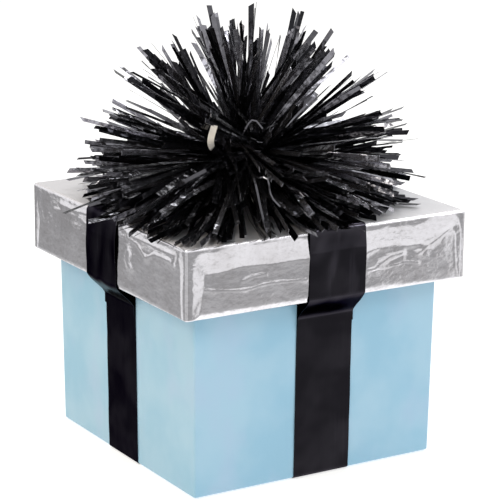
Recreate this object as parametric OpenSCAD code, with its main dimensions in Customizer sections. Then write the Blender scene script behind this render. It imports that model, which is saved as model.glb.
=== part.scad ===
// Small square gift box: a covered board base, a lift-off lid in silver film,
// black ribbon bands and a burst of film tinsel tied in the middle of the lid.
// Millimetres, +Z up. The origin is the middle of the underside, on the surface
// that the box stands on. The front is -Y.

/* [Base] */
// Outside width and depth of the covered base
base_w = 57; // [52:0.5:60]
// Height of the base's covered rim above the surface it stands on
base_h = 50.6; // [46:0.1:50.6]
// Thickness of the base's board
base_board_t = 1.2; // [0.8:0.1:2]

/* [Lid] */
// Outside width and depth of the covered lid
lid_w = 66; // [65:0.5:72]
// Height of the lid's top face above the surface the box stands on
lid_top = 53; // [53:0.5:60]
// Height of the lid's lower edge above the surface the box stands on
lid_edge = 38.6; // [36:0.1:44]
// Thickness of the lid's board
lid_board_t = 2; // [1:0.1:2]

/* [Coverings] */
// Thickness of the film that covers base and lid
film_t = 0.15; // [0.1:0.01:0.2]
// Thickness of the paper strips that hold the board's corners
stay_t = 0.1; // [0.05:0.01:0.15]
// Length of each leg of a corner strip
stay_leg = 8; // [4:1:14]
// How far the film is turned in over an edge
turn_in = 8; // [5:1:12]
// Thickness of the paper linings and of the sheet under the base
paper_t = 0.15; // [0.1:0.01:0.2]

/* [Ribbon] */
// Width of the ribbon
ribbon_w = 12.7; // [6:0.1:20]
// Thickness of the ribbon
ribbon_t = 0.12; // [0.08:0.01:0.14]
// Sideways offset of the bands on the front and back faces
ribbon_x = 1.3; // [-3:0.1:3]
// Sideways offset of the bands on the left and right faces
ribbon_y = 1; // [-3:0.1:3]
// How far below the lid's edge the lid's bands reach the base
tail_drop = 5.4; // [4:0.1:8]
// Straight end of each band of the lid, against the base
tail_end = 0.9; // [0.5:0.1:3]
// Room between the lid's bands and the base's bands
tail_gap = 0.15; // [0.1:0.01:0.3]

/* [Bow] */
// Height of the middle of the bow above the lid's top face
bow_rise = 7.5; // [7:0.1:9]
// Length of the lower tufts from the middle of the bow
lower_r = 41; // [30:1:44]
// Length of the middle tufts from the middle of the bow
middle_r = 38; // [30:1:44]
// Length of the upper tufts from the middle of the bow
upper_r = 35.5; // [30:0.5:40]
// Thickness of a gathered tuft of film strips
tuft_t = 0.5; // [0.3:0.1:0.8]
// Width of a tuft at its tips
tuft_tip_w = 3.6; // [2:0.1:5]

/* [Hidden] */

// Layers below the base, from the surface up
tab_z = paper_t;
turn_in_z = tab_z + ribbon_t;
base_floor_z = turn_in_z + film_t;

// Outside widths of the two boards, inside their coverings
base_board_w = base_w - 2 * (film_t + stay_t);
lid_board_w = lid_w - 2 * (film_t + stay_t);

// Inside widths of the boards, and of the linings glued in them
base_inner_w = base_board_w - 2 * base_board_t;
lid_inner_w = lid_board_w - 2 * lid_board_t;
base_lining_w = base_inner_w - 2 * film_t;
lid_lining_w = lid_inner_w - 2 * film_t;
lining_drop = 2;
lid_ceiling = lid_top - film_t - lid_board_t;

// Corner strips stop a little short of both ends of the board
stay_end = 0.4;

// The sheet under the base is smaller than the base, and ribbon ends reach under it
sheet_margin = 2;
tab_len = 12;
base_ribbon_top = lid_edge + 9;

// The front-to-back band passes over the left-to-right band on the lid
cross_gap = 0.02;
over_z = ribbon_t + cross_gap;
tail_inner = base_w / 2 + ribbon_t + tail_gap;
bridge_steps = 12;

// Bow: the middle, the hub that the tufts grow from, and the stack that holds it
bow_z = lid_top + bow_rise;
hub_r = 5;
hub_bore = 1;
pad_r = 8;
pad_t = 1;
pad_z = lid_top + over_z + ribbon_t;
disc_r = 11;
disc_t = 0.6;
disc_z = pad_z + pad_t;
neck_z = disc_z + disc_t;
neck_r = 2.4;
wire_r = 0.4;
wire_z = neck_z + 0.6;
wire_tail = 5;

// Each ring of tufts is [elevation in degrees, how many, first tuft's turn in degrees]
LOWER_RINGS = [[-8, 18, 0], [6, 18, 10]];
MIDDLE_RINGS = [[20, 16, 0], [32, 14, 11], [44, 12, 4]];
UPPER_RINGS = [[55, 10, 0], [66, 8, 20], [78, 4, 8], [90, 1, 0]];
// Cones that part the hub into the three gathers
LOWER_TOP = 13;
MIDDLE_TOP = 49;
HUB_GAP = 1;

// A square block on the centre line, from one height to another
module slab(w, z0, z1) {
    translate([-w / 2, -w / 2, z0]) cube([w, w, z1 - z0]);
}

// A square tube
module tube(w_out, w_in, z0, z1) {
    difference() {
        slab(w_out, z0, z1);
        slab(w_in, z0 - 1, z1 + 1);
    }
}

// Four paper strips folded round the upright corners of a board
module corner_stays(board_w, z0, z1) {
    for (turn = [0 : 90 : 270])
        rotate([0, 0, turn])
            intersection() {
                tube(board_w + 2 * stay_t, board_w, z0, z1);
                translate([board_w / 2 - stay_leg, board_w / 2 - stay_leg, z0])
                    cube([stay_leg + 1, stay_leg + 1, z1 - z0]);
            }
}

module base_board() {
    color("#8d877c") difference() {
        slab(base_board_w, base_floor_z, base_h - film_t);
        slab(base_inner_w, base_floor_z + base_board_t, base_h + 1);
    }
}

module base_corner_stays() {
    color("#d9cdb4") corner_stays(base_board_w, base_floor_z + stay_end, base_h - film_t - stay_end);
}

// Film up the walls, over the rim and down inside it, and turned in under the base
module base_wrap() {
    color("#a3c7de") {
        difference() {
            slab(base_w, turn_in_z, base_h);
            slab(base_w - 2 * film_t, base_floor_z, base_h - film_t);
            slab(base_inner_w - 2 * film_t, base_h - 1, base_h + 1);
            slab(base_w - 2 * turn_in, turn_in_z - 1, base_floor_z + 1);
        }
        tube(base_inner_w, base_inner_w - 2 * film_t, base_h - turn_in, base_h);
    }
}

module base_lining() {
    color("#f2f1ec") difference() {
        slab(base_lining_w, base_floor_z + base_board_t, base_h - lining_drop);
        slab(base_lining_w - 2 * paper_t, base_floor_z + base_board_t + paper_t, base_h);
    }
}

module underside_sheet() {
    color("#ecebe6") slab(base_w - 2 * sheet_margin, 0, paper_t);
}

// One band up a wall of the base, its upper end under the lid and its lower end tucked under
module base_band(offset) {
    translate([offset - ribbon_w / 2, -base_w / 2 - ribbon_t, tab_z]) {
        cube([ribbon_w, ribbon_t, base_ribbon_top - tab_z]);
        cube([ribbon_w, tab_len, ribbon_t]);
    }
}

module base_ribbon_front() {
    color("#1b1a1e") base_band(ribbon_x);
}

module base_ribbon_back() {
    color("#1b1a1e") rotate([0, 0, 180]) base_band(-ribbon_x);
}

module base_ribbon_left() {
    color("#1b1a1e") rotate([0, 0, -90]) base_band(-ribbon_y);
}

module base_ribbon_right() {
    color("#1b1a1e") rotate([0, 0, 90]) base_band(ribbon_y);
}

module lid_board() {
    color("#8d877c") difference() {
        slab(lid_board_w, lid_edge + film_t, lid_top - film_t);
        slab(lid_inner_w, lid_edge - 1, lid_ceiling);
    }
}

module lid_corner_stays() {
    color("#d9cdb4") corner_stays(lid_board_w, lid_edge + film_t + stay_end, lid_top - film_t - stay_end);
}

// Film over the top, down the sides and turned in under the edge
module lid_wrap() {
    color("#e4e2e6") {
        difference() {
            slab(lid_w, lid_edge, lid_top);
            slab(lid_w - 2 * film_t, lid_edge + film_t, lid_top - film_t);
            slab(lid_inner_w - 2 * film_t, lid_edge - 1, lid_edge + 1);
        }
        tube(lid_inner_w, lid_inner_w - 2 * film_t, lid_edge, lid_edge + turn_in);
    }
}

module lid_lining() {
    color("#f2f1ec") difference() {
        slab(lid_lining_w, lid_edge + lining_drop, lid_ceiling);
        slab(lid_lining_w - 2 * paper_t, lid_edge, lid_ceiling - paper_t);
    }
}

// Half a band of the lid, seen from the side: [distance from the middle, height] of its inner
// face. It runs flat on the lid, straight down the side, and in one S-curve in to the base.
function ease(t) = t * t * (3 - 2 * t);
function bridge(t) = [lid_w / 2 + (tail_inner - lid_w / 2) * ease(t), lid_edge - tail_drop * t];
function band_path(rise) = concat(
    [[0, lid_top + rise], [lid_w / 2, lid_top + rise]],
    [for (i = [0 : bridge_steps]) bridge(i / bridge_steps)],
    [[tail_inner, lid_edge - tail_drop - tail_end]]);
// The outer face of the S-curve lies one thickness off, square to the curve
function bridge_slope(t) = [6 * t * (1 - t) * (tail_inner - lid_w / 2), -tail_drop];
function bridge_out(t) = bridge(t) + ribbon_t * [-bridge_slope(t)[1], bridge_slope(t)[0]] / norm(bridge_slope(t));
function band_outer(rise) = concat(
    [[tail_inner + ribbon_t, lid_edge - tail_drop - tail_end]],
    [for (i = [bridge_steps : -1 : 0]) bridge_out(i / bridge_steps)],
    [[lid_w / 2 + ribbon_t, lid_top + rise + ribbon_t], [0, lid_top + rise + ribbon_t]]);

module half_band(rise) {
    rotate([90, 0, 0])
        translate([0, 0, -ribbon_w / 2])
            linear_extrude(height = ribbon_w)
                polygon(concat(band_path(rise), band_outer(rise)));
}

// A whole band over the lid, lying along X
module lid_band(rise) {
    half_band(rise);
    mirror([1, 0, 0]) half_band(rise);
}

module lid_ribbon_front_back() {
    color("#1b1a1e") translate([ribbon_x, 0, 0]) rotate([0, 0, 90]) lid_band(over_z);
}

module lid_ribbon_left_right() {
    color("#1b1a1e") translate([0, ribbon_y, 0]) lid_band(0);
}

module bow_glue_pad() {
    color("#f4f2ea") translate([0, 0, pad_z]) cylinder(r = pad_r, h = pad_t, $fn = 48);
}

module bow_card_disc() {
    color("#e9e7e0") translate([0, 0, disc_z]) cylinder(r = disc_r, h = disc_t, $fn = 64);
}

// A ring of wire round the neck of the bow, with its twisted end beside it
module bow_wire_tie() {
    color("#9a9ba0") {
        translate([0, 0, wire_z])
            rotate_extrude($fn = 48) translate([neck_r + wire_r, 0]) circle(r = wire_r, $fn = 24);
        translate([neck_r + wire_r, 0, wire_z])
            rotate([0, 90, 0]) cylinder(r = wire_r * 0.9, h = wire_tail, $fn = 24);
    }
}

// The part of the hub between two cones about the middle of the bow
module gather(low, high) {
    step = (high - low) / 8;
    rotate_extrude($fn = 48)
        polygon(concat(
            [for (i = [0 : 8]) hub_r * [max(0, cos(low + i * step)), sin(low + i * step)]],
            [hub_bore * [max(0, cos(high)), sin(high)], hub_bore * [cos(low), sin(low)]]));
}

// One flat tuft of strips along +X: narrow where it is gathered, and wide at its tips
module tuft(length) {
    root_r = hub_r * 0.8;
    root_w = 0.9;
    translate([0, 0, -tuft_t / 2])
        linear_extrude(height = tuft_t)
            polygon([[root_r, -root_w / 2], [length - 2, -tuft_tip_w / 2], [length, -tuft_tip_w / 4],
                     [length - 1.5, 0], [length, tuft_tip_w / 4], [length - 2, tuft_tip_w / 2],
                     [root_r, root_w / 2]]);
}

module tufts(rings, length) {
    for (ring = rings, i = [0 : ring[1] - 1])
        rotate([0, -ring[0], ring[2] + i * 360 / ring[1]]) tuft(length);
}

module bow_lower_fringe() {
    color("#232227") {
        translate([0, 0, bow_z]) {
            gather(-89.9, LOWER_TOP);
            tufts(LOWER_RINGS, lower_r);
        }
        translate([0, 0, neck_z]) cylinder(r = neck_r, h = bow_z - neck_z - hub_bore - 1, $fn = 48);
    }
}

module bow_middle_fringe() {
    color("#29282d") translate([0, 0, bow_z]) {
        gather(LOWER_TOP + HUB_GAP, MIDDLE_TOP);
        tufts(MIDDLE_RINGS, middle_r);
    }
}

module bow_upper_fringe() {
    color("#302f35") translate([0, 0, bow_z]) {
        gather(MIDDLE_TOP + HUB_GAP, 90);
        tufts(UPPER_RINGS, upper_r);
    }
}

base_board();
base_corner_stays();
base_wrap();
base_lining();
underside_sheet();
base_ribbon_front();
base_ribbon_back();
base_ribbon_left();
base_ribbon_right();
lid_board();
lid_corner_stays();
lid_wrap();
lid_lining();
lid_ribbon_front_back();
lid_ribbon_left_right();
bow_glue_pad();
bow_card_disc();
bow_wire_tie();
bow_lower_fringe();
bow_middle_fringe();
bow_upper_fringe();
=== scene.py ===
"""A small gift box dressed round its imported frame.

The base is covered in pale blue satin film and the lift-off lid in crinkled silver film. Black ribbon
bands run up the middle of each side and cross on the lid, under a burst of black film tinsel.
Shapes are worked out in millimetres in the frame's own axes: +Z up, the front at -Y.
"""

import logging
import math
from dataclasses import dataclass, field
from enum import Enum
from typing import ClassVar

import bpy
import numpy as np
from mathutils import Matrix, Vector


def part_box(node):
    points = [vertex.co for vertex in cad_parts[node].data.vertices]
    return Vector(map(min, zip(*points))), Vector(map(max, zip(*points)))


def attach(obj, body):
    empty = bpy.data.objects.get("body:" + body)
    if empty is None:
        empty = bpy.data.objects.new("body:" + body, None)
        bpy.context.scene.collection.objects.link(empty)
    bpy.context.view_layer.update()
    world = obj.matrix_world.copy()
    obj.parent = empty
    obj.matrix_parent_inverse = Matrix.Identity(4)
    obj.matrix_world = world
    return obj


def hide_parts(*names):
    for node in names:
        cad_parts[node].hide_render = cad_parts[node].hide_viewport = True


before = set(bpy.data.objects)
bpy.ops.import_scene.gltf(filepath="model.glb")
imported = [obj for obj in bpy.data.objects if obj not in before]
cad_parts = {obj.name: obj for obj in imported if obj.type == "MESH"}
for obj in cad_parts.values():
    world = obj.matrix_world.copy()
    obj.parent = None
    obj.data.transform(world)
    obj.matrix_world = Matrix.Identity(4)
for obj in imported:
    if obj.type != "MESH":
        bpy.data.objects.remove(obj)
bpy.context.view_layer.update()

MM = 0.001
Colour = tuple[float, float, float]
log = logging.getLogger("gift_box")


class Body(Enum):
    """The two rigid bodies that pieces ride on."""

    BASE = "base"
    LID = "lid"


class Side(Enum):
    """The four upright faces, in the order that an outline meets them."""

    FRONT = 0
    RIGHT = 1
    BACK = 2
    LEFT = 3


# ---------------------------------------------------------------- shapes


def box_mm(node: str) -> tuple[np.ndarray, np.ndarray]:
    """Give a CAD node's box in millimetres.

    Args:
        node: the node's name.

    Returns:
        Its lowest and its highest corner.
    """
    low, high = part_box(node)
    return np.array(low) / MM, np.array(high) / MM


def grid_quads(rows: int, columns: int, close_rows: bool = False, close_columns: bool = False) -> np.ndarray:
    """Join each point of a grid to its neighbours: point (r, c) has the index r * columns + c.

    Args:
        rows: how many rows the grid has.
        columns: how many points a row has.
        close_rows: join the last row to the first.
        close_columns: join each row's last point to its first.

    Returns:
        One line of four indices for each quad.
    """
    r = np.arange(rows if close_rows else rows - 1)[:, None]
    c = np.arange(columns if close_columns else columns - 1)[None, :]
    r_next, c_next = (r + 1) % rows, (c + 1) % columns
    corners = (r * columns + c, r * columns + c_next, r_next * columns + c_next, r_next * columns + c)
    return np.stack(np.broadcast_arrays(*corners), axis=-1).reshape(-1, 4)


def make_piece(name: str, points: np.ndarray, faces: list[np.ndarray],
               smooth: bool = True) -> bpy.types.Object:
    """Put a worked-out surface into a new object at the origin.

    Args:
        name: the piece's name.
        points: its points in millimetres, one line each.
        faces: arrays of point indices, one line for each face; an array's faces have equal corners.
        smooth: shade the faces smooth.

    Returns:
        The new object.
    """
    mesh = bpy.data.meshes.new(name)
    corners = np.concatenate([part.ravel() for part in faces]).astype(np.int32)
    counts = np.concatenate([np.full(len(part), part.shape[1]) for part in faces])
    mesh.vertices.add(len(points))
    mesh.vertices.foreach_set("co", (points * MM).astype(np.float32).ravel())
    mesh.loops.add(len(corners))
    mesh.loops.foreach_set("vertex_index", corners)
    mesh.polygons.add(len(counts))
    mesh.polygons.foreach_set("loop_start", (np.cumsum(counts) - counts).astype(np.int32))
    mesh.polygons.foreach_set("use_smooth", np.full(len(counts), smooth))
    mesh.update(calc_edges=True)
    mesh.validate()
    if smooth:
        mesh.set_sharp_from_angle(angle=math.radians(40))
    piece = bpy.data.objects.new(name, mesh)
    bpy.context.scene.collection.objects.link(piece)
    return piece


def smooth_step(value: np.ndarray, low: float, high: float) -> np.ndarray:
    """Rise from 0 at low to 1 at high along 3t^2 - 2t^3."""
    t = np.clip((value - low) / (high - low), 0, 1)
    return t * t * (3 - 2 * t)


def rounded_path(stops: list[tuple[float, float]], radii: list[float], spacing: list[float]) -> np.ndarray:
    """Run straight from stop to stop, with each inner stop turned into an arc.

    An arc of radius r at a bend of angle a starts r * tan(a / 2) before the stop and ends as far after it.

    Args:
        stops: the path's corners.
        radii: the arc's radius at each inner stop.
        spacing: the distance between points along each straight run.

    Returns:
        The path's points, one line each.
    """
    stop = np.array(stops, float)
    run = np.diff(stop, axis=0)
    ahead = run / np.linalg.norm(run, axis=1, keepdims=True)
    start, path = stop[0], []
    for i, step in enumerate(spacing):
        last = i == len(spacing) - 1
        turn = 0.0 if last else math.acos(np.clip(ahead[i] @ ahead[i + 1], -1, 1))
        reach = 0.0 if last else radii[i] * math.tan(turn / 2)
        end = stop[i + 1] - ahead[i] * reach
        count = max(2, round(np.linalg.norm(end - start) / step) + 1)
        path.append(start + np.linspace(0, 1, count)[:, None] * (end - start))
        if not last:
            side = math.copysign(1, ahead[i][0] * ahead[i + 1][1] - ahead[i][1] * ahead[i + 1][0])
            inward = side * np.array([-ahead[i][1], ahead[i][0]])
            angle = np.linspace(0, turn, 7)[1:-1, None]
            path.append(end + radii[i] * (np.sin(angle) * ahead[i] + (1 - np.cos(angle)) * inward))
            start = stop[i + 1] + ahead[i + 1] * reach
    return np.concatenate(path)


def left_of(path: np.ndarray) -> np.ndarray:
    """Give the unit vector square to a flat path at each point, on its left as it runs."""
    along = np.gradient(path, axis=0)
    along /= np.linalg.norm(along, axis=1, keepdims=True)
    return np.stack([-along[:, 1], along[:, 0]], axis=1)


@dataclass(frozen=True)
class Ripple:
    """A random gentle swell: the mean of many plane waves with random directions and phases."""

    seed: int
    length: float
    height: float
    waves: int = 16

    def at(self, points: np.ndarray) -> np.ndarray:
        """Work out the swell, sum(sin(k . p + phase)) * height / sqrt(waves / 2).

        Each wave's |k| is near 2 pi / length.

        Args:
            points: places in millimetres, the last axis holding x, y and z.

        Returns:
            The height at each place, in millimetres.
        """
        rng = np.random.default_rng(self.seed)
        heading = rng.normal(size=(self.waves, 3))
        heading /= np.linalg.norm(heading, axis=1, keepdims=True)
        number = 2 * math.pi / self.length * rng.uniform(0.6, 1.5, self.waves)
        phase = rng.uniform(0, 2 * math.pi, self.waves)
        total = np.zeros(points.shape[:-1])
        for k, start in zip(heading * number[:, None], phase):
            total += np.sin(points @ k + start)
        return total * self.height / math.sqrt(self.waves / 2)


@dataclass
class SquareOutline:
    """A square with rounded corners, met from above anticlockwise from the front left corner."""

    per_side: int
    per_corner: int
    middle: np.ndarray = field(init=False)
    outward: np.ndarray = field(init=False)
    side: np.ndarray = field(init=False)
    along: np.ndarray = field(init=False)

    def __post_init__(self) -> None:
        """Lay out one side and the corner after it, then turn them by quarter turns."""
        t = np.linspace(-1, 1, self.per_side)
        arc = np.linspace(-math.pi / 2, 0, self.per_corner + 2)[1:-1]
        middle = np.concatenate([np.stack([t, -np.ones_like(t)], 1), np.tile([1.0, -1.0], (len(arc), 1))])
        outward = np.concatenate([np.tile([0.0, -1.0], (len(t), 1)), np.stack([np.cos(arc), np.sin(arc)], 1)])
        first = np.concatenate([t, np.where(arc < -math.pi / 4, 1.0, -1.0)])
        over = np.concatenate([np.zeros(len(t), int), np.where(arc < -math.pi / 4, 0, 1)])
        turns = [np.array([[math.cos(a), math.sin(a)], [-math.sin(a), math.cos(a)]]) for a in
                 np.arange(4) * math.pi / 2]
        self.middle = np.concatenate([middle @ turn for turn in turns])
        self.outward = np.concatenate([outward @ turn for turn in turns])
        self.side = np.concatenate([(over + i) % 4 for i in range(4)])
        self.along = np.tile(first, 4)

    def __len__(self) -> int:
        """Count the outline's points."""
        return len(self.side)

    def ring(self, half: np.ndarray, radius: np.ndarray, height: np.ndarray) -> np.ndarray:
        """Carry the outline through rows of a profile: middle * (half - radius) + outward * radius.

        Args:
            half: each row's distance from the middle to a side, in millimetres.
            radius: each row's corner radius.
            height: each row's height.

        Returns:
            Points on a grid of (row, outline point, xyz).
        """
        flat = self.middle * (half - radius)[:, None, None] + self.outward * radius[:, None, None]
        return np.concatenate([flat, np.broadcast_to(height[:, None, None], flat.shape[:2] + (1,))], axis=2)


# ---------------------------------------------------------------- shader expressions


class Wire:
    """A shader socket that takes part in sums: an expression on wires adds its Math nodes."""

    def __init__(self, tree: "ShaderTree", socket: bpy.types.NodeSocket) -> None:
        """Hold the tree and the output socket."""
        self.tree = tree
        self.socket = socket

    def _math(self, operation: str, first: object, second: object = None) -> "Wire":
        """Add a Math node for first and second."""
        values = {0: first} if second is None else {0: first, 1: second}
        return self.tree.add("ShaderNodeMath", {"operation": operation}, values)["Value"]

    def __add__(self, other: object) -> "Wire":
        """Add."""
        return self._math("ADD", self, other)

    __radd__ = __add__

    def __mul__(self, other: object) -> "Wire":
        """Multiply."""
        return self._math("MULTIPLY", self, other)

    __rmul__ = __mul__

    def __sub__(self, other: object) -> "Wire":
        """Subtract."""
        return self._math("SUBTRACT", self, other)

    def __rsub__(self, other: object) -> "Wire":
        """Subtract from a number."""
        return self._math("SUBTRACT", other, self)

    def call(self, operation: str, other: object = None) -> "Wire":
        """Apply a named Math operation, such as SINE or POWER."""
        return self._math(operation, self, other)

    def between(self, low: float, high: float) -> "Wire":
        """Rise smoothly from 0 at low to 1 at high."""
        settings = {"interpolation_type": "SMOOTHSTEP"}
        values = {"Value": self, "From Min": low, "From Max": high}
        return self.tree.add("ShaderNodeMapRange", settings, values)["Result"]


class Outputs:
    """A node's outputs, by name, as wires."""

    def __init__(self, tree: "ShaderTree", node: bpy.types.Node) -> None:
        """Hold the tree and the node."""
        self.tree = tree
        self.node = node

    def __getitem__(self, name: str | int) -> Wire:
        """Give one output as a wire."""
        return Wire(self.tree, self.node.outputs[name])


class ShaderTree:
    """A node tree with one way to add a node."""

    def __init__(self, tree: bpy.types.NodeTree) -> None:
        """Empty the tree."""
        self.tree = tree
        self.tree.nodes.clear()

    def add(self, kind: str, settings: dict | None = None, values: dict | None = None) -> Outputs:
        """Add a node.

        Args:
            kind: the node's type.
            settings: its properties, set first.
            values: for each input socket, by name or number, a value or a wire.

        Returns:
            The node's outputs.
        """
        node = self.tree.nodes.new(kind)
        for name, value in (settings or {}).items():
            setattr(node, name, value)
        for name, value in (values or {}).items():
            if isinstance(value, Wire):
                self.tree.links.new(value.socket, node.inputs[name])
            else:
                node.inputs[name].default_value = value
        return Outputs(self, node)

    def place(self, stretch: tuple[float, float, float] = (1, 1, 1)) -> Wire:
        """Give the object's own coordinates in metres, stretched along each axis."""
        where = self.add("ShaderNodeTexCoord")["Object"]
        return self.add("ShaderNodeMapping", None, {"Vector": where, "Scale": stretch})["Vector"]

    def noise(self, where: Wire, size: float, detail: float = 2.0, roughness: float = 0.5) -> Wire:
        """Give a noise from 0 to 1 whose blots are about size metres across."""
        values = {"Vector": where, "Scale": 1 / size, "Detail": detail, "Roughness": roughness}
        return self.add("ShaderNodeTexNoise", None, values)["Fac"]

    def blend(self, share: object, first: object, second: object) -> Wire:
        """Mix two colours: first where share is 0 and second where it is 1."""
        colours = [value if isinstance(value, Wire) else (*value, 1.0) for value in (first, second)]
        values = {0: share, 6: colours[0], 7: colours[1]}
        return self.add("ShaderNodeMix", {"data_type": "RGBA"}, values)[2]

    def bump(self, height: Wire, depth: float) -> Wire:
        """Turn a height from 0 to 1 into a normal, for bumps of depth metres."""
        values = {"Height": height, "Distance": depth, "Strength": 1.0}
        return self.add("ShaderNodeBump", None, values)["Normal"]


class Finish:
    """A surface finish that can make its own material."""

    name: str = "finish"
    made: ClassVar[dict[str, bpy.types.Material]] = {}

    def dress(self, tree: ShaderTree) -> dict:
        """Give the values of the Principled shader's sockets."""
        raise NotImplementedError

    def material(self) -> bpy.types.Material:
        """Make the material, or find it if it is already made.

        Returns:
            The material.
        """
        if self.name in self.made:
            return self.made[self.name]
        material = bpy.data.materials.new(self.name)
        material.use_nodes = True
        tree = ShaderTree(material.node_tree)
        surface = tree.add("ShaderNodeBsdfPrincipled", None, self.dress(tree))["BSDF"]
        tree.add("ShaderNodeOutputMaterial", None, {"Surface": surface})
        self.made[self.name] = material
        return material

    def put_on(self, piece: bpy.types.Object) -> None:
        """Give a piece this finish alone."""
        piece.data.materials.clear()
        piece.data.materials.append(self.material())


@dataclass(frozen=True)
class PearlFilm(Finish):
    """Pale blue satin film with a faint pearl cloudiness."""

    name: str = "pale_blue_pearl_film"
    light: Colour = (0.37, 0.575, 0.72)
    deep: Colour = (0.30, 0.525, 0.685)
    pearl: Colour = (0.40, 0.545, 0.72)

    def dress(self, tree: ShaderTree) -> dict:
        """Cloud two blues and a violet pearl together, and wave the surface a little."""
        where = tree.place()
        cloud = tree.noise(where, 0.016, 3.0, 0.55).between(0.35, 0.65)
        bloom = tree.noise(tree.place((1.0, 1.0, 0.6)), 0.009, 2.0).between(0.5, 0.72)
        colour = tree.blend(bloom * 0.5, tree.blend(cloud, self.deep, self.light), self.pearl)
        grain = tree.noise(where, 0.0016, 2.0)
        swell = tree.noise(where, 0.007, 1.0)
        return {
            "Base Color": colour,
            "Roughness": grain * 0.10 + 0.30,
            "Specular IOR Level": 0.35,
            "Normal": tree.bump(swell * 0.8 + grain * 0.2, 0.00012),
        }


@dataclass(frozen=True)
class SilverFilm(Finish):
    """Bright metallised film with fine handling marks."""

    name: str = "crinkled_silver_film"
    bright: Colour = (0.86, 0.845, 0.88)
    dull: Colour = (0.70, 0.68, 0.70)
    hazy: Colour = (0.57, 0.56, 0.58)

    def dress(self, tree: ShaderTree) -> dict:
        """Vary the brightness and the gloss with smudges, and crinkle the surface finely.

        The piece's "slack" attribute says where the film lies loose, so that it is hazier there.
        """
        where = tree.place()
        slack = tree.add("ShaderNodeAttribute", {"attribute_name": "slack"})["Fac"]
        smudge = tree.noise(where, 0.005, 3.0, 0.6)
        speckle = tree.noise(tree.place((1.0, 1.0, 1.6)), 0.0011, 3.0, 0.6)
        crinkle = tree.noise(tree.place((0.8, 0.8, 1.3)), 0.0030, 2.0, 0.5)
        swell = tree.noise(where, 0.010, 1.0)
        wear = smudge.between(0.35, 0.7) * 0.6 + speckle.between(0.45, 0.75) * 0.6
        return {
            "Base Color": tree.blend(slack, tree.blend(wear, self.bright, self.dull), self.hazy),
            "Metallic": 1 - slack * 0.6,
            "Roughness": smudge * 0.08 + speckle * 0.05 + slack * 0.26 + 0.05,
            "Normal": tree.bump(swell * 0.66 + crinkle * 0.26 + speckle * 0.08, 0.00040),
        }


@dataclass(frozen=True)
class RibbonFilm(Finish):
    """Smooth black metallised ribbon with a soft gloss and faint lengthwise ribs."""

    name: str = "soft_black_ribbon"
    black: Colour = (0.030, 0.028, 0.035)
    worn: Colour = (0.044, 0.041, 0.050)

    def dress(self, tree: ShaderTree) -> dict:
        """Run fine ribs along the ribbon, let its gloss wander, and keep its edges as dark as its face."""
        along = tree.add("ShaderNodeUVMap", {"uv_map": "ribbon"})["UV"]
        ribs = tree.add("ShaderNodeMapping", None, {"Vector": along, "Scale": (0.6, 14.0, 1.0)})["Vector"]
        rib = tree.add("ShaderNodeTexNoise", None, {"Vector": ribs, "Scale": 1.0, "Detail": 2.0})["Fac"]
        cloud = tree.noise(tree.place(), 0.008, 2.0)
        return {
            "Base Color": tree.blend(cloud.between(0.4, 0.7), self.black, self.worn),
            "Metallic": 1.0,
            "Specular Tint": (0.35, 0.35, 0.35, 1.0),
            "Roughness": cloud * 0.08 + 0.15,
            "Normal": tree.bump(rib * 0.12 + cloud * 0.88, 0.00016),
        }


@dataclass(frozen=True)
class TinselFilm(Finish):
    """Thin glossy black film whose strips differ a little in tone, with a pale cream glint painted on the end
    of one strand.
    """

    name: str = "black_tinsel_film"
    black: Colour = (0.014, 0.014, 0.017)
    grey: Colour = (0.46, 0.455, 0.50)
    pale: Colour = (0.80, 0.76, 0.70)

    def dress(self, tree: ShaderTree) -> dict:
        """Take each strip's tone from the piece and buckle the film finely."""
        tone = tree.add("ShaderNodeAttribute", {"attribute_name": "tone"})["Fac"]
        painted_glint = tree.add("ShaderNodeAttribute", {"attribute_name": "painted_glint"})["Fac"]
        where = tree.place()
        buckle = tree.noise(where, 0.0035, 2.0)
        # The pale cream blended in here is a painted glint on one strand: a highlight painted into the
        # colour, with the film made non-metallic there.
        colour = tree.blend(painted_glint, tree.blend(tone, self.black, self.grey), self.pale)
        return {
            "Base Color": colour,
            "Metallic": 0.92 - painted_glint * 0.92,
            "Roughness": tone * 0.06 + buckle * 0.12 + 0.10,
            "Specular IOR Level": 0.5,
            "Normal": tree.bump(buckle, 0.00060),
        }


@dataclass(frozen=True)
class Fibre(Finish):
    """Board, paper, card or foam: a matt stuff with flecks and a fine tooth."""

    name: str = "white_lining_paper"
    body: Colour = (0.80, 0.80, 0.77)
    fleck: Colour = (0.70, 0.69, 0.65)
    fleck_size: float = 0.0012
    tooth: float = 0.00003
    roughness: float = 0.85

    def dress(self, tree: ShaderTree) -> dict:
        """Scatter flecks over the body colour and raise a tooth of the same grain."""
        where = tree.place()
        grain = tree.noise(where, self.fleck_size, 4.0, 0.65)
        return {
            "Base Color": tree.blend(grain.between(0.45, 0.75), self.body, self.fleck),
            "Roughness": grain * 0.1 + (self.roughness - 0.05),
            "Normal": tree.bump(grain, self.tooth),
        }


@dataclass(frozen=True)
class DrawnWire(Finish):
    """Soft steel wire with drawing marks."""

    name: str = "drawn_steel_wire"
    bright: Colour = (0.55, 0.55, 0.57)
    dull: Colour = (0.35, 0.35, 0.36)

    def dress(self, tree: ShaderTree) -> dict:
        """Streak the metal with fine dull marks."""
        mark = tree.noise(tree.place(), 0.0004, 3.0)
        return {
            "Base Color": tree.blend(mark.between(0.4, 0.7), self.bright, self.dull),
            "Metallic": 1.0,
            "Roughness": mark * 0.2 + 0.2,
            "Normal": tree.bump(mark, 0.00002),
        }


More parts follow.
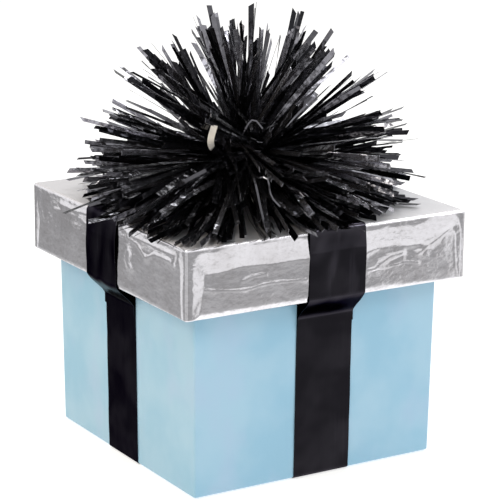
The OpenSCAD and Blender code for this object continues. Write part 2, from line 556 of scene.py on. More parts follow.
GREYBOARD = Fibre("solid_greyboard", (0.25, 0.235, 0.205), (0.16, 0.15, 0.13), 0.0016, 0.00005, 0.9)
STAY_PAPER = Fibre("gummed_stay_paper", (0.60, 0.52, 0.37), (0.5, 0.42, 0.28), 0.0010, 0.00003, 0.8)
LINING_PAPER = Fibre()
BOW_CARD = Fibre("bow_card", (0.74, 0.73, 0.68), (0.66, 0.64, 0.58), 0.0008, 0.00002, 0.6)
PAD_FOAM = Fibre("pad_foam", (0.82, 0.81, 0.75), (0.66, 0.65, 0.6), 0.0006, 0.00012, 0.9)


# ---------------------------------------------------------------- film coverings


@dataclass(frozen=True)
class Facet:
    """A flat facet of crinkled film: how far it stands out at one place, and how it leans from there."""

    along: float
    height: float
    out: float
    lean_along: float = 0.0
    lean_up: float = 0.0

    def at(self, along: np.ndarray, height: np.ndarray) -> np.ndarray:
        """Give the facet's plane: out + lean_along * (s - along) + lean_up * (z - height)."""
        return self.out + self.lean_along * (along - self.along) + self.lean_up * (height - self.height)


@dataclass(frozen=True)
class Crease:
    """A raised line in the film, as wide as its width each side and standing up by its rise."""

    stops: tuple[tuple[float, float], ...]
    rise: float = 0.085
    width: float = 0.44

    def at(self, along: np.ndarray, height: np.ndarray) -> np.ndarray:
        """Give rise * exp(-(d / width)^2), with d the distance to the nearest run between two stops."""
        place = np.stack([along, height], axis=-1)
        nearest = np.full(along.shape, np.inf)
        for start, end in zip(self.stops[:-1], self.stops[1:]):
            a, run = np.array(start), np.array(end) - np.array(start)
            share = np.clip(((place - a) @ run) / (run @ run), 0, 1)
            nearest = np.minimum(nearest, np.linalg.norm(place - a - share[..., None] * run, axis=-1))
        return self.rise * np.exp(-((nearest / self.width) ** 2))

    def mirrored(self) -> "Crease":
        """Give the same crease on the other half of a face."""
        return Crease(tuple((-s, z) for s, z in self.stops), self.rise, self.width)


@dataclass(frozen=True)
class FilmFace:
    """How the film lies on one side of the lid: a puffed panel with facets and creases, under a ribbon."""

    facets: tuple[Facet, ...]
    creases: tuple[Crease, ...]
    ribbon_at: float
    top: float = 51.75
    end: float = 31.6
    bevel: float = 0.118
    end_gain: float = 1.6
    bend: float = 4.5
    foot: float = 0.03
    softness: float = 0.022
    ridge_rise: float = 0.034
    ridge_width: float = 0.045
    pressed: float = 0.10
    press_edge: tuple[float, float] = (5.0, 6.6)

    def border(self, along: np.ndarray, height: np.ndarray) -> np.ndarray:
        """Give how far a place is inside the panel's top and ends, with its corners rounded to the bend.

        With a and b the distances from the end and from the top, it is
        bend - hypot(max(bend - a, 0), max(bend - b, 0)), or the lesser of a and b further in.
        """
        a, b = (self.end - np.abs(along)) * self.end_gain, self.top - height
        near = self.bend - np.hypot(np.maximum(self.bend - a, 0), np.maximum(self.bend - b, 0))
        return np.where((a > self.bend) & (b > self.bend), np.minimum(a, b), near)

    def out(self, along: np.ndarray, height: np.ndarray, swell: np.ndarray) -> np.ndarray:
        """Work out how far the film stands out from the board.

        The bevel and the facets' planes are joined by a soft minimum, so the film is a shallow pillow with
        soft folds. A low ridge stands where two meet, creases are added, and the ribbon presses the film.

        Args:
            along: distance along the face from its middle, in millimetres.
            height: height above the table.
            swell: a gentle random height that makes the folds wander.

        Returns:
            The height of the film off the board, in millimetres.
        """
        edge = self.foot + self.bevel * self.border(along, height) + swell * 1.4
        planes = np.stack([edge] + [facet.at(along, height) + swell * 0.6 for facet in self.facets])
        lowest = planes.min(axis=0)
        pillow = lowest - self.softness * np.log(np.exp(-(planes - lowest) / self.softness).sum(axis=0))
        ridge = self.ridge_rise * np.exp(-(((edge - planes[1:].min(axis=0)) / self.ridge_width) ** 2))
        lines = sum((crease.at(along, height) for crease in self.creases), np.zeros_like(along))
        under = 1 - smooth_step(np.abs(along - self.ribbon_at), *self.press_edge)
        return np.maximum(pillow + (ridge + lines) * (1 - under) - self.pressed * under, 0.0)


@dataclass
class FilmCover:
    """A film covering, made from a grid of outer points with an inner face one thickness in."""

    thickness: float = 0.03

    def shell(self, outer: np.ndarray, inner_every: int, closed: bool) -> tuple[np.ndarray, list[np.ndarray]]:
        """Make a closed shell from rows of outer points.

        The inner face is every few rows of the outer one, moved in along the surface's own normal, which is
        the cross product of its two gradients.

        Args:
            outer: points on a grid of (row, outline point, xyz), running from the shell's start to its end.
            inner_every: keep one row in this many on the inner face.
            closed: the first and last rows are open edges; if not, both ends close at a pole on the axis.

        Returns:
            The shell's points and its faces.
        """
        around = (np.roll(outer, -1, axis=1) - np.roll(outer, 1, axis=1)) / 2
        down = np.gradient(outer, axis=0)
        normal = np.cross(around, down)
        normal /= np.maximum(np.linalg.norm(normal, axis=2, keepdims=True), 1e-9)
        keep = np.unique(np.append(np.arange(0, len(outer), inner_every), len(outer) - 1))[::-1]
        inner = (outer + normal * self.thickness)[keep]
        rows = np.concatenate([outer, inner])
        count, columns = rows.shape[:2]
        points = rows.reshape(-1, 3)
        faces = [grid_quads(count, columns, closed, True)[:, ::-1]]
        if not closed:
            poles = np.stack([outer[0].mean(axis=0), inner[-1].mean(axis=0)])
            ring = np.arange(columns)
            after = (ring + 1) % columns
            last = (count - 1) * columns
            faces.append(np.stack([np.full(columns, count * columns), ring, after], axis=1))
            faces.append(np.stack([np.full(columns, count * columns + 1), last + after, last + ring], axis=1))
            points = np.concatenate([points, poles])
        return points, faces


@dataclass
class Ribbon:
    """A ribbon band: a flat path carried across the ribbon's width, with an inner face one thickness in."""

    name: str
    width: float
    offset: float
    turn: float
    thickness: float = 0.10
    across: int = 11
    cup: float = 0.05

    def piece(self, path: np.ndarray, stray: Ripple, free: np.ndarray) -> bpy.types.Object:
        """Make the band as a closed sheet.

        A point of the inner face is path(u) + n(u) * free(u) * (|stray| + cup * (1 - v^2)), at v * width / 2
        sideways; the outer face is one thickness further out. The band is then turned about the upright axis.

        Args:
            path: (distance out, height) along the inner face of the ribbon, from its first end to its last.
            stray: a gentle random swell off the box.
            free: for each point of the path, 0 where the ribbon is stuck down and 1 where it can swell.

        Returns:
            The new piece.
        """
        v = np.linspace(-1, 1, self.across)
        normal = left_of(path)
        flat = np.stack(np.broadcast_arrays(path[:, None, 0], v[None, :] * self.width / 2,
                                            path[:, None, 1]), 2)
        lift = (np.abs(stray.at(flat)) + self.cup * (1 - v ** 2)) * free[:, None]
        push = np.stack([normal[:, 0], np.zeros(len(path)), normal[:, 1]], 1)[:, None, :]
        outer = flat + push * (lift + self.thickness)[..., None]
        inner = flat + push * lift[..., None]
        rows = np.concatenate([outer, inner[:, ::-1]], axis=1)
        count, columns = rows.shape[:2]
        rows[..., 1] += self.offset
        spin = math.radians(self.turn)
        turned = np.stack([rows[..., 0] * math.cos(spin) - rows[..., 1] * math.sin(spin),
                           rows[..., 0] * math.sin(spin) + rows[..., 1] * math.cos(spin), rows[..., 2]], 2)
        ends = [np.arange(columns)[None, :], np.arange(columns)[None, ::-1] + (count - 1) * columns]
        faces = [grid_quads(count, columns, False, True)[:, ::-1]] + ends
        piece = make_piece(self.name, turned.reshape(-1, 3), faces)
        self._lay_uv(piece, path, count, columns)
        return piece

    def _lay_uv(self, piece: bpy.types.Object, path: np.ndarray, count: int, columns: int) -> None:
        """Give the piece a UV map in centimetres along the ribbon and its widths across it."""
        run = np.concatenate([[0], np.cumsum(np.linalg.norm(np.diff(path, axis=0), axis=1))]) / 10
        half = np.linspace(0, 1, self.across)
        uv = np.stack(np.broadcast_arrays(run[:, None], np.concatenate([half, half[::-1]])[None, :]), 2)
        index = np.zeros(len(piece.data.loops), np.int32)
        piece.data.loops.foreach_get("vertex_index", index)
        layer = piece.data.uv_layers.new(name="ribbon")
        layer.data.foreach_set("uv", uv.reshape(-1, 2)[index].astype(np.float32).ravel())


# ---------------------------------------------------------------- the base


@dataclass
class Base:
    """The box's base: a lined board tray in blue film, with four ribbon bands."""

    film_start: float = 20.5
    flare: float = 0.42
    flare_top: float = 38.6
    corner: float = 0.42
    rim_roll: float = 0.45
    turn_in: float = 8.0
    front_ribbon_width: float = 13.3
    side_ribbon_width: float = 12.6
    ribbon_x: float = 1.4
    ribbon_y: float = 1.0

    def half(self, height: np.ndarray | float) -> np.ndarray | float:
        """Give half the base's width at a height: it widens evenly up to the lid's edge."""
        low, high = box_mm("base_wrap")
        return high[0] + self.flare * np.clip((height - low[2]) / (self.flare_top - low[2]), 0, 1)

    def build(self) -> None:
        """Build and dress every piece of the base."""
        GREYBOARD.put_on(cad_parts["base_board"])
        STAY_PAPER.put_on(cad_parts["base_corner_stays"])
        LINING_PAPER.put_on(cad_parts["base_lining"])
        LINING_PAPER.put_on(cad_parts["underside_sheet"])
        self._film()
        bands = ((Side.FRONT, -90, self.ribbon_x), (Side.RIGHT, 0, self.ribbon_y),
                 (Side.BACK, 90, -self.ribbon_x), (Side.LEFT, 180, -self.ribbon_y))
        for side, turn, offset in bands:
            self._band(side, turn, offset)

    def _film(self) -> None:
        """Carry the film's profile round the base: from inside, over the rim, down the wall and under it."""
        low, high = box_mm("base_wrap")
        inside = box_mm("base_lining")[1][0] + 0.03
        stops = [(self.film_start, low[2]), (self.half(0.0), low[2]),
                 (self.half(self.flare_top), self.flare_top), (self.half(high[2]), high[2]),
                 (inside, high[2]), (inside, high[2] - self.turn_in)]
        profile = rounded_path(stops, [0.45, 5.0, self.rim_roll, 0.4], [1.5, 0.7, 1.2, 0.5, 2.0])[::-1]
        outline = SquareOutline(96, 6)
        corner = np.where(profile[:, 0] > inside + 0.5, self.corner, 0.3)
        rows = outline.ring(profile[:, 0], corner, profile[:, 1])
        walls = smooth_step(profile[:, 1], 1.0, 6.0) * (1 - smooth_step(profile[:, 1], 44.0, 49.0))
        walls = walls * (profile[:, 0] > high[0] - 1)
        edge = 1 - np.abs(outline.along) ** 8
        middle = np.array([self.ribbon_x, self.ribbon_y, -self.ribbon_x, -self.ribbon_y])[outline.side]
        along = outline.along * (self.half(0.0) - self.corner)
        held = smooth_step(np.abs(along - middle), 5.5, 8.5)
        swell = (Ripple(11, 17.0, 0.07).at(rows) + 0.06) * walls[:, None] * (edge * held)[None, :]
        rows[..., :2] += swell[..., None] * outline.outward
        points, faces = FilmCover().shell(rows, 2, True)
        piece = make_piece("base_film", points, faces)
        PearlFilm().put_on(piece)
        settle(piece, Body.BASE, ["base_wrap"])

    def _band(self, side: Side, turn: float, offset: float) -> None:
        """Run one ribbon from under the base up its wall to its end under the lid."""
        name = f"base_ribbon_{side.name.lower()}"
        low, high = box_mm(name)
        under = box_mm("base_wrap")[0][2] - 0.012
        tuck = max(abs(low[:2]).max(), abs(high[:2]).max()) - 12.0
        stops = [(tuck, under), (self.half(0.0) + 0.05, under),
                 (self.half(self.flare_top) + 0.05, self.flare_top), (self.half(high[2]) + 0.05, high[2])]
        path = rounded_path(stops, [0.5, 5.0], [1.0, 0.7, 0.9])
        width = self.front_ribbon_width if side in (Side.FRONT, Side.BACK) else self.side_ribbon_width
        ribbon = Ribbon(name + "_film", width, offset, turn, 0.10, 11, 0.03)
        path = path[::-1]
        piece = ribbon.piece(path, Ripple(31 + side.value, 16.0, 0.05), smooth_step(path[:, 1], 1.0, 5.0))
        RibbonFilm().put_on(piece)
        settle(piece, Body.BASE, [name])
        width * MM


def settle(piece: bpy.types.Object, body: Body, nodes: list[str]) -> None:
    """Tie a piece to its body and hide the CAD nodes it stands for.

    Args:
        piece: the new piece.
        body: the body it rides on.
        nodes: the CAD nodes it replaces.
    """
    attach(piece, body.value)
    if nodes:
        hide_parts(*nodes)
    log.info("%s: %d points, %d faces", piece.name, len(piece.data.vertices), len(piece.data.polygons))


# ---------------------------------------------------------------- the lid

# Stops are (distance along the face, height) in millimetres, to the nearest half.
FRONT_CREASES = (
    Crease(((-31, 45), (-26, 44), (-20, 43.5), (-16, 44), (-12, 44), (-6, 43.5))),
    Crease(((8.5, 43.5), (12, 43.5), (18, 44), (21, 43.5))),
    Crease(((22, 44.5), (26, 44), (29, 42)), 0.03),
    Crease(((29.5, 50), (26, 48), (21, 45.5)), 0.17, 0.80),
    Crease(((10.5, 44), (14, 45.5), (17, 46)), 0.15, 0.75),
    Crease(((8, 47), (11, 48), (15, 48), (23, 47)), 0.10, 0.55),
    Crease(((-20.5, 45.5), (-18, 46), (-15.5, 46)), 0.06, 0.45),
    Crease(((-32, 40), (-30, 43.5)), 0.03),
)
LEFT_CREASES = (
    Crease(((8, 51.5), (16, 51), (24, 51), (29, 51), (28.5, 49)), 0.10, 0.50),
    Crease(((9.5, 50.5), (14, 50), (17.5, 48), (21, 49.5), (27, 49.5)), 0.12, 0.60),
    Crease(((-20, 51), (-12, 51), (-7, 51.5)), 0.10, 0.50),
    Crease(((-23, 49), (-19, 50), (-12, 50), (-7, 49)), 0.06, 0.50),
    Crease(((10.5, 47.5), (10, 46), (11, 44.5)), 0.20, 1.20),
    Crease(((-22, 49), (-22, 41)), 0.02),
)
FRONT_FACETS = (
    Facet(0, 44, 0.45, 0, 0.012),
    Facet(0, 43.5, 0.43, 0, 0.035),
    Facet(24, 47, 0.42, -0.022, 0.014),
    Facet(29.5, 45.5, 0.32, -0.05, 0.012),
    Facet(22, 43, 0.40, -0.012, 0.06),
    Facet(0, 40, 0.35, 0, 0.27),
)
LEFT_BEVEL = 0.045
LEFT_FACETS = (
    Facet(0, 45, 0.34, 0, -0.006),
    Facet(14, 48, 0.34, -0.012, 0.004),
    Facet(-12, 42, 0.33, 0.004, 0.022),
    Facet(0, 39.5, 0.30, 0, 0.36),
)


@dataclass
class Lid:
    """The lift-off lid: a lined board tray in silver film, with two ribbon bands crossing on it."""

    base: Base
    corner: float = 0.42
    film_half: float = 33.02
    front_ribbon_width: float = 13.3
    side_ribbon_width: float = 12.6
    ribbon_x: float = 1.4
    ribbon_y: float = 1.0
    bridge_drop: float = 5.4
    bridge_share: float = 0.82
    tail: float = 0.9
    tail_gap: float = 0.3
    shoulder_gap: float = 0.14
    side_gap: float = 0.46
    shoulder_drop: float = 4.6
    start_above_edge: float = 0.6

    def build(self) -> None:
        """Build and dress every piece of the lid but its bow."""
        GREYBOARD.put_on(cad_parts["lid_board"])
        STAY_PAPER.put_on(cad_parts["lid_corner_stays"])
        LINING_PAPER.put_on(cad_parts["lid_lining"])
        self._film()
        self._band("lid_ribbon_left_right", self.side_ribbon_width, self.ribbon_y, 0.0, 0.12)
        self._band("lid_ribbon_front_back", self.front_ribbon_width, -self.ribbon_x, 90.0, 0.30)

    def _faces(self) -> dict[int, FilmFace]:
        """Give each side its film: the back and right sides are the front and left ones turned over."""
        flipped = {facets: tuple(Facet(-f.along, f.height, f.out, -f.lean_along, f.lean_up) for f in facets)
                   for facets in (FRONT_FACETS, LEFT_FACETS)}
        return {
            Side.FRONT.value: FilmFace(FRONT_FACETS, FRONT_CREASES, self.ribbon_x),
            Side.RIGHT.value: FilmFace(flipped[LEFT_FACETS], tuple(c.mirrored() for c in LEFT_CREASES),
                                       self.ribbon_y, bevel=LEFT_BEVEL, end_gain=3.0),
            Side.BACK.value: FilmFace(flipped[FRONT_FACETS], tuple(c.mirrored() for c in FRONT_CREASES),
                                      -self.ribbon_x),
            Side.LEFT.value: FilmFace(LEFT_FACETS, LEFT_CREASES, -self.ribbon_y, bevel=LEFT_BEVEL,
                                      end_gain=3.0),
        }

    def _film(self) -> None:
        """Carry the film's profile round the lid: from the middle of the top to its turned-in edge."""
        low, high = box_mm("lid_wrap")
        inside = box_mm("lid_lining")[1][0] + 0.08
        stops = [(0.6, high[2]), (24.0, high[2]), (self.film_half, high[2]), (self.film_half, low[2]),
                 (inside, low[2]), (inside, low[2] + 6.0)]
        profile = rounded_path(stops, [1.0, 0.55, 0.35, 0.3], [2.4, 0.9, 0.27, 0.7, 3.0])
        outline = SquareOutline(206, 8)
        corner = np.minimum(np.where(profile[:, 0] > inside + 0.4, self.corner, 0.4), profile[:, 0] * 0.5)
        rows = outline.ring(profile[:, 0], corner, profile[:, 1])
        along = outline.along * (self.film_half - self.corner)
        reach = np.broadcast_to(along[None, :], rows.shape[:2])
        swell = Ripple(5, 15.0, 0.035).at(rows)
        out = np.zeros(rows.shape[:2])
        for number, face in self._faces().items():
            mine = outline.side == number
            out[:, mine] = face.out(reach[:, mine], rows[:, mine, 2], swell[:, mine])
        outer_wall = profile[:, 0] > self.film_half - 0.6
        corner_ease = smooth_step(self.film_half - self.corner - np.abs(reach), 0.0, 0.8)
        rows[..., :2] += (out * outer_wall[:, None] * corner_ease)[..., None] * outline.outward
        on_top = (profile[:, 1] > high[2] - 0.01) & (profile[:, 0] < self.film_half)
        edge_ease = 1 - smooth_step(profile[:, 0], 29.0, 32.2)
        top = 0.05 + Ripple(8, 12.0, 0.05).at(rows)
        clear = (smooth_step(np.abs(rows[..., 0] - self.ribbon_x), 6.5, 10.0)
                 * smooth_step(np.abs(rows[..., 1] - self.ribbon_y), 6.5, 10.0))
        rows[..., 2] += np.maximum(top, 0) * clear * (on_top * edge_ease)[:, None]
        points, faces = FilmCover().shell(rows, 9, False)
        piece = make_piece("lid_film", points, faces)
        slack = smooth_step(points[:, 2], high[2] - 0.25, high[2] - 0.05)
        layer = piece.data.attributes.new("slack", "FLOAT", "POINT")
        layer.data.foreach_set("value", slack.astype(np.float32))
        SilverFilm().put_on(piece)
        settle(piece, Body.LID, ["lid_wrap"])

    def _band(self, name: str, width: float, offset: float, turn: float, rise: float) -> None:
        """Run one ribbon over the lid, down two sides, and in by an S-curve to the base at both ends."""
        low, high = box_mm("lid_wrap")
        edge, top = low[2], high[2] + rise
        shoulder, side = self.film_half + self.shoulder_gap, self.film_half + self.side_gap
        start = edge + self.start_above_edge
        tail_z = edge - self.bridge_drop
        tail = self.base.half(tail_z) + 0.12 + self.tail_gap
        t = np.linspace(0, 1, 26)
        inward = np.minimum(t / self.bridge_share, 1)
        ease = 0.5 * smooth_step(inward, 0.0, 1.0) + 0.5 * inward
        bridge = np.stack([side + (tail - side) * ease, start - (start - tail_z) * t], 1)
        stops = [(0.4, top), (shoulder, top), (side, top - self.shoulder_drop), (side, start)]
        down = rounded_path(stops, [0.7, 6.0], [1.0, 0.6, 0.6])
        end = np.array([[tail, tail_z - self.tail * 0.5], [tail, tail_z - self.tail]])
        half = np.concatenate([down, bridge[1:], end])
        path = np.concatenate([(half * [-1, 1])[::-1], half])
        ribbon = Ribbon(name + "_film", width, offset, turn, 0.10, 15, 0.06)
        piece = ribbon.piece(path, Ripple(len(name), 11.0, 0.11), smooth_step(path[:, 1], tail_z, edge + 1.0))
        RibbonFilm().put_on(piece)
        settle(piece, Body.LID, [name])
        width * MM


# ---------------------------------------------------------------- the bow


def strip_faces(steps: int) -> np.ndarray:
    """Give the faces of one closed strip whose sections have four corners each."""
    ring = np.arange(4)[None, :]
    return np.concatenate([grid_quads(steps, 4, False, True), ring[:, ::-1], ring + 4 * (steps - 1)])


@dataclass(frozen=True)
class Strand:
    """A loose strip that wanders away from its tuft through its own stops, in millimetres."""

    stops: tuple[tuple[float, float, float], ...]
    width: float = 0.45
    tone: float = 0.9
    # Where along the strand, from 0 to 1, a painted cream glint starts; above 1 there is none.
    painted_glint_from: float = 2.0
    facing: tuple[float, float, float] = (-0.5, -0.8, 0.3)
    steps: int = 28

    def skin(self, film: float) -> np.ndarray:
        """Give the strip's points: the line is rounded by cutting its corners at a quarter of each run.

        Args:
            film: the film's thickness.

        Returns:
            The points, four for each section.
        """
        line = np.array(self.stops, float)
        for _ in range(3):
            cut = np.stack([0.75 * line[:-1] + 0.25 * line[1:], 0.25 * line[:-1] + 0.75 * line[1:]], 1)
            line = np.concatenate([line[:1], cut.reshape(-1, 3), line[-1:]])
        run = np.concatenate([[0], np.cumsum(np.linalg.norm(np.diff(line, axis=0), axis=1))])
        even = np.linspace(0, run[-1], self.steps)
        line = np.stack([np.interp(even, run, line[:, k]) for k in range(3)], 1)
        along = np.gradient(line, axis=0)
        along /= np.linalg.norm(along, axis=1, keepdims=True)
        across = np.cross(np.array(self.facing), along)
        across /= np.linalg.norm(across, axis=1, keepdims=True)
        edge, skin = across * self.width / 2, np.cross(along, across) * film / 2
        return np.stack([line - edge - skin, line + edge - skin, line + edge + skin, line - edge + skin],
                        axis=1).reshape(-1, 3)


LOOSE_STRANDS = (
    # The first strand ends in a painted cream glint over its last 30 per cent.
    Strand(((-8, -8, 62), (-14, -13, 66), (-19, -17.5, 69), (-18, -18, 73)), 1.3, 0.1, 0.70),
    Strand(((-6, -12, 62), (-15, -29, 64), (-13.5, -31, 65), (-13.5, -31.5, 61), (-12, -33, 59)), 0.3, 0.30),
    Strand(((-6, -10, 63), (-16, -30, 64.5), (-17, -34, 59), (-16.5, -35.5, 55)), 0.4, 0.18),
    Strand(((-8, -6, 62), (-27, -18, 61.5), (-28.5, -23, 63.5), (-24, -25, 66)), 0.7, 0.16),
    Strand(((-5, -6, 66), (-15, -23, 71), (-13, -24, 75.5), (-11.5, -25.5, 73)), 0.3, 0.26),
)


@dataclass
class Strips:
    """Many film strips at once: one line of each array for each strip."""

    start: np.ndarray
    axis: np.ndarray
    across: np.ndarray
    length: np.ndarray
    width: np.ndarray
    turn: np.ndarray
    twist: np.ndarray
    bend: np.ndarray
    slant: np.ndarray
    droop: np.ndarray

    def skin(self, floor: float, film: float, steps: int) -> np.ndarray:
        """Carry each strip's flat section along its own path.

        The path is start + axis * length * t + face * bend * t^2 - up * droop * t^2, and the section turns
        about the axis by turn + twist * t. The strip narrows towards its root and ends on its slant.

        Args:
            floor: the height that no path goes below.
            film: the film's thickness.
            steps: how many sections a strip has.

        Returns:
            Points on a grid of (strip, section * 4 + corner, xyz).
        """
        t = np.linspace(0, 1, steps)
        across = self.across - self.axis * (self.across * self.axis).sum(-1, keepdims=True)
        across /= np.linalg.norm(across, axis=-1, keepdims=True)
        face = np.cross(self.axis, across)
        angle = (self.turn[:, None] + self.twist[:, None] * t)[..., None]
        wide = across[:, None] * np.cos(angle) + face[:, None] * np.sin(angle)
        thick = face[:, None] * np.cos(angle) - across[:, None] * np.sin(angle)
        line = self.start[:, None] + self.axis[:, None] * (self.length[:, None] * t)[..., None]
        line = line + face[:, None] * (self.bend[:, None] * t ** 2)[..., None]
        line[..., 2] -= self.droop[:, None] * t ** 2
        level = floor + 0.6 * (self.turn % 1.0)[:, None] + np.zeros_like(t)
        line[..., 2] = np.maximum(line[..., 2], level)
        edge = wide * (self.width[:, None] / 2 * (0.5 + 0.5 * np.minimum(t / 0.3, 1)))[..., None]
        cut = self.axis[:, None] * (self.slant[:, None] * (t == 1))[..., None]
        skin = thick * film / 2
        section = np.stack([line - edge - cut - skin, line + edge + cut - skin,
                            line + edge + cut + skin, line - edge - cut + skin], axis=2)
        return section.reshape(len(self.length), steps * 4, 3)


@dataclass
class Fringe:
    """One gather of film strips, spread as tufts between two elevations."""

    node: str
    seed: int
    tufts: int
    low: float
    high: float
    length: float
    strips: int = 8
    fan: float = 0.95
    stray: float = 1.2
    width: float = 1.12
    lower_bias: float = 1.0
    longer: float = 0.0
    longest_at: float = -135.0
    even: float = 0.84
    short_share: float = 0.30
    film: float = 0.05
    steps: int = 6
    heart: float = 3.2
    droop: float = 0.8
    wild_share: float = 0.14
    wild_angle: float = 9.0
    hair_share: float = 0.03
    hair_width: float = 0.22
    darkness: float = 3.0
    strands: tuple[Strand, ...] = ()

    def build(self, middle: np.ndarray, floor: float) -> None:
        """Build the gather as one piece.

        Tufts are spread by the golden angle over the sine of their elevation, and start at random places in
        the bow's heart. They are longer on one side of the bow, by longer * cos(angle from there)^5. A
        tuft's strips fan out in its own plane; some are short, and a few are hairs that reach past the rest.

        Args:
            middle: where the strips are gathered, in millimetres.
            floor: the height that no strip goes below over the lid.
        """
        rng = np.random.default_rng(self.seed)
        number = np.arange(self.tufts)
        sines = np.sin(np.radians([self.low, self.high]))
        share = ((number + rng.uniform(0, 1, self.tufts)) / self.tufts) ** self.lower_bias
        up = np.arcsin(sines[0] + share * (sines[1] - sines[0]))
        round_ = number * math.pi * (3 - math.sqrt(5)) + rng.uniform(-0.3, 0.3, self.tufts)
        heading = np.stack([np.cos(up) * np.cos(round_), np.cos(up) * np.sin(round_), np.sin(up)], 1)
        level = np.stack([-np.sin(round_), np.cos(round_), np.zeros(self.tufts)], 1)
        roll = rng.uniform(-math.pi / 2, math.pi / 2, self.tufts)[:, None]
        side = level * np.cos(roll) + np.cross(heading, level) * np.sin(roll)
        flat = np.cross(heading, side)
        facing = np.maximum(np.cos(round_ - math.radians(self.longest_at)), 0) ** 5
        reach = self.length * rng.uniform(self.even, 1.03, self.tufts) * (1 + self.longer * facing)
        root = middle + rng.normal(0, self.heart, (self.tufts, 3)) * [1, 1, 0.6]

        shape = (self.tufts, self.strips)
        place = (np.arange(self.strips) - (self.strips - 1) / 2)[None, :] + rng.normal(0, 0.6, shape)
        lean = np.radians(place * self.fan)[..., None]
        stray = np.radians(rng.normal(0, self.stray, shape))[..., None]
        wild = np.radians(rng.normal(0, self.wild_angle, shape + (3,)))
        wild = wild * (rng.uniform(0, 1, shape) < self.wild_share)[..., None]
        aim = heading[:, None] + side[:, None] * lean + flat[:, None] * stray + wild
        aim /= np.linalg.norm(aim, axis=-1, keepdims=True)
        length = reach[:, None] * (1 + rng.normal(0, 0.05, shape) - 0.02 * np.abs(place))
        short = rng.uniform(0, 1, shape) < self.short_share
        length = np.where(short, length * rng.uniform(0.35, 0.85, shape), length)
        hair = rng.uniform(0, 1, shape) < self.hair_share
        tip = middle + aim * np.where(hair, length * 1.05, length)[..., None]
        run = (tip - root[:, None]).reshape(-1, 3)
        size = np.linalg.norm(run, axis=1)
        count = size.size
        strips = Strips(
            start=np.repeat(root, self.strips, axis=0), axis=run / size[:, None],
            across=np.repeat(side, self.strips, axis=0), length=size,
            width=np.where(hair.ravel(), self.hair_width, self.width * rng.uniform(0.75, 1.15, count)),
            turn=rng.normal(0, 0.30, count), twist=rng.normal(0, 0.40, count),
            bend=rng.normal(0, 1.0, count) * np.where(rng.uniform(0, 1, count) < 0.1, 3.0, 1.0),
            slant=rng.uniform(-0.55, 0.55, count),
            droop=self.droop * np.repeat(np.cos(up), self.strips) * rng.uniform(0.3, 1.7, count))
        self._make(strips.skin(floor, self.film, self.steps), middle, rng)

    def _make(self, points: np.ndarray, middle: np.ndarray, rng: np.random.Generator) -> None:
        """Make the piece from its strips' points and its strands, each with a tone; a strand can carry a
        painted cream glint.
        """
        strips = len(points)
        section = strip_faces(self.steps)
        places = [points.reshape(-1, 3)]
        tones = [np.repeat(rng.uniform(0, 1, strips) ** self.darkness, self.steps * 4)]
        painted_glints = [np.zeros(strips * self.steps * 4)]
        faces = [(np.arange(strips)[:, None, None] * self.steps * 4 + section[None]).reshape(-1, 4)]
        for strand in self.strands:
            faces.append(strip_faces(strand.steps) + sum(map(len, places)))
            places.append(strand.skin(self.film))
            tones.append(np.full(strand.steps * 4, strand.tone))
            # Mark the part of each strand that carries the painted cream glint.
            painted_glints.append(np.repeat(np.linspace(0, 1, strand.steps) > strand.painted_glint_from, 4).astype(float))
        piece = make_piece(self.node.replace("bow", "tinsel"), np.concatenate(places), faces, False)
        for name, values in (("tone", tones), ("painted_glint", painted_glints)):
            layer = piece.data.attributes.new(name, "FLOAT", "POINT")
            layer.data.foreach_set("value", np.concatenate(values).astype(np.float32))
        TinselFilm().put_on(piece)
        settle(piece, Body.LID, [self.node])


@dataclass
class Bow:
    """The tinsel burst on its pad and card disc, tied with wire."""

    rise: float = 7.5
    clearance: float = 0.6

    def build(self) -> None:
        """Build and dress every piece of the bow."""
        PAD_FOAM.put_on(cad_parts["bow_glue_pad"])
        BOW_CARD.put_on(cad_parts["bow_card_disc"])
        DrawnWire().put_on(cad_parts["bow_wire_tie"])
        top = box_mm("lid_wrap")[1][2]
        middle = np.array([0.0, 0.0, top + self.rise])
        floor = top + self.clearance
        gathers = (
            Fringe("bow_lower_fringe", seed=3, tufts=140, low=-13, high=11, length=34.8, fan=1.2, stray=2.4,
                   width=1.05, lower_bias=2.4, longer=0.32, even=0.89),
            Fringe("bow_middle_fringe", seed=4, tufts=23, low=12, high=46, length=35.2, strips=10, fan=0.8,
                   strands=LOOSE_STRANDS),
            Fringe("bow_upper_fringe", seed=7, tufts=18, low=46, high=90, length=34.3, strips=10, fan=0.85),
        )
        for gather in gathers:
            gather.build(middle, floor)


# ---------------------------------------------------------------- the studio


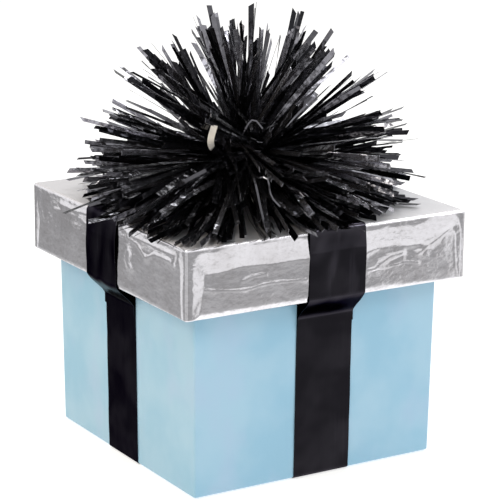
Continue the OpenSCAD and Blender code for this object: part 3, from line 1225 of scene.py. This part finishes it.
@dataclass
class Studio:
    """A pale floor, a soft surround, soft lamps and the camera."""

    azimuth: float = -31.4
    elevation: float = 14.9
    roll: float = 0.45
    distance: float = 0.453
    aim_height: float = 0.040
    lens: float = 154.2
    shift: tuple[float, float] = (0.012, 0.011)

    def build(self) -> None:
        """Set up everything that isn't the object."""
        scene = bpy.context.scene
        scene.view_settings.view_transform = "Standard"
        scene.view_settings.look = "None"
        self._camera()
        self._surround()
        self._floor()
        self._lamp("key_lamp", -165, 40, 0.62, 0.22, 8.0, (1.0, 0.93, 0.83))
        self._lamp("side_lamp", -40, 34, 0.66, 0.20, 9.0, (0.96, 0.98, 1.0))
        self._lamp("back_lamp", 30, 48, 0.62, 0.20, 10.0, (1.0, 1.0, 1.0))
        self._lamp("top_lamp", 140, 60, 0.60, 0.20, 7.0, (1.0, 1.0, 1.0))

    def _camera(self) -> None:
        """Place the camera by its azimuth and elevation about a point above the floor's origin."""
        a, e, roll = (math.radians(v) for v in (self.azimuth, self.elevation, self.roll))
        back = Vector((math.sin(a) * math.cos(e), -math.cos(a) * math.cos(e), math.sin(e)))
        right = Vector((math.cos(a), math.sin(a), 0))
        up = back.cross(right)
        tilted_right = math.cos(roll) * right + math.sin(roll) * up
        tilted_up = math.cos(roll) * up - math.sin(roll) * right
        data = bpy.data.cameras.new("camera")
        data.lens, data.sensor_width = self.lens, 36.0
        data.shift_x, data.shift_y = self.shift
        data.clip_start, data.clip_end = 0.01, 20.0
        camera = bpy.data.objects.new("camera", data)
        turn = Matrix((tilted_right, tilted_up, back)).transposed().to_4x4()
        place = Vector((0, 0, self.aim_height)) + back * self.distance
        camera.matrix_world = Matrix.Translation(place) @ turn
        bpy.context.scene.collection.objects.link(camera)
        bpy.context.scene.camera = camera

    def _lamp(self, name: str, azimuth: float, elevation: float, distance: float, size: float, glow: float,
              colour: Colour) -> None:
        """Hang a square soft lamp that faces the box; its power is glow * pi * area."""
        a, e = math.radians(azimuth), math.radians(elevation)
        toward = Vector((math.cos(a) * math.cos(e), math.sin(a) * math.cos(e), math.sin(e)))
        data = bpy.data.lights.new(name, "AREA")
        data.shape, data.size = "SQUARE", size
        data.energy, data.color = glow * math.pi * size * size, colour
        lamp = bpy.data.objects.new(name, data)
        lamp.location = Vector((0, 0, 0.045)) + toward * distance
        lamp.rotation_euler = toward.to_track_quat("Z", "Y").to_euler()
        bpy.context.scene.collection.objects.link(lamp)

    def _surround(self) -> None:
        """Surround the box with a soft room.

        Diffuse light comes from an even room, warm on the left and cool in front; shiny surfaces see a white
        room with a grey band low down, broken by bright upright panels.
        """
        world = bpy.data.worlds.new("soft_surround")
        world.use_nodes = True
        bpy.context.scene.world = world
        tree = ShaderTree(world.node_tree)
        way = tree.add("ShaderNodeTexCoord")["Generated"]
        axes = tree.add("ShaderNodeSeparateXYZ", None, {"Vector": way})
        up = axes["Z"].call("ARCSINE") * (180 / math.pi)
        turn = axes["Y"].call("ARCTAN2", axes["X"]) * (180 / math.pi)
        cloud = tree.add("ShaderNodeTexNoise", None, {"Vector": way, "Scale": 3.2, "Detail": 2.0})["Fac"]
        wander = (cloud - 0.5) * 9.0
        band = (up + wander).between(-35, -29) * (1 - (up + wander).between(-11.0, -5.0))
        panel = ((turn + 86) * (8 * math.pi / 180)).call("COSINE").between(0.0, 0.8)
        grey = band * (1 - panel * 0.95)
        tint = 0.22 + cloud * 0.26 + (1 - up.between(-23, -14)) * 0.16
        open_room = up.between(0, 30) * 0.16 + (1 - up.between(-42, -32)) * 0.40 + 0.92
        glow = open_room * (1 - grey) + tint * grey
        warm = axes["X"].between(0.2, -0.9)
        room = tree.blend(warm, (0.60, 0.66, 0.69), (0.64, 0.48, 0.30))
        rays = tree.add("ShaderNodeLightPath")
        shiny = tree.blend(rays["Is Glossy Ray"], room, tree.add("ShaderNodeCombineColor", None, {
            "Red": glow, "Green": glow, "Blue": glow})["Color"])
        seen = tree.blend(rays["Is Camera Ray"], shiny, (1.0, 1.0, 1.0))
        back = tree.add("ShaderNodeBackground", None, {"Color": seen, "Strength": 1.0})
        tree.add("ShaderNodeOutputWorld", None, {"Surface": back["Background"]})

    def _floor(self) -> None:
        """Lay a pale floor that glows a little, so that shadows on it stay faint."""
        size = 3000.0
        points = np.array([[-size, -size, 0], [size, -size, 0], [size, size, 0], [-size, size, 0]], float)
        floor = make_piece("studio_floor", points, [np.array([[0, 1, 2, 3]])], False)
        material = bpy.data.materials.new("studio_floor_paint")
        material.use_nodes = True
        tree = ShaderTree(material.node_tree)
        grain = tree.noise(tree.place(), 0.05, 2.0)
        values = {"Base Color": tree.blend(grain, (0.50, 0.50, 0.50), (0.52, 0.52, 0.52)), "Roughness": 0.9,
                  "Specular IOR Level": 0.0, "Emission Color": (1, 1, 1, 1), "Emission Strength": 0.66}
        surface = tree.add("ShaderNodeBsdfPrincipled", None, values)["BSDF"]
        tree.add("ShaderNodeOutputMaterial", None, {"Surface": surface})
        floor.data.materials.append(material)
        floor.visible_glossy = False


def main() -> None:
    """Build the studio, the base, the lid and the bow, in that order."""
    logging.basicConfig(level=logging.INFO, format="%(name)s: %(message)s")
    Studio().build()
    base = Base()
    base.build()
    Lid(base).build()
    Bow().build()


if __name__ == "__main__":
    main()
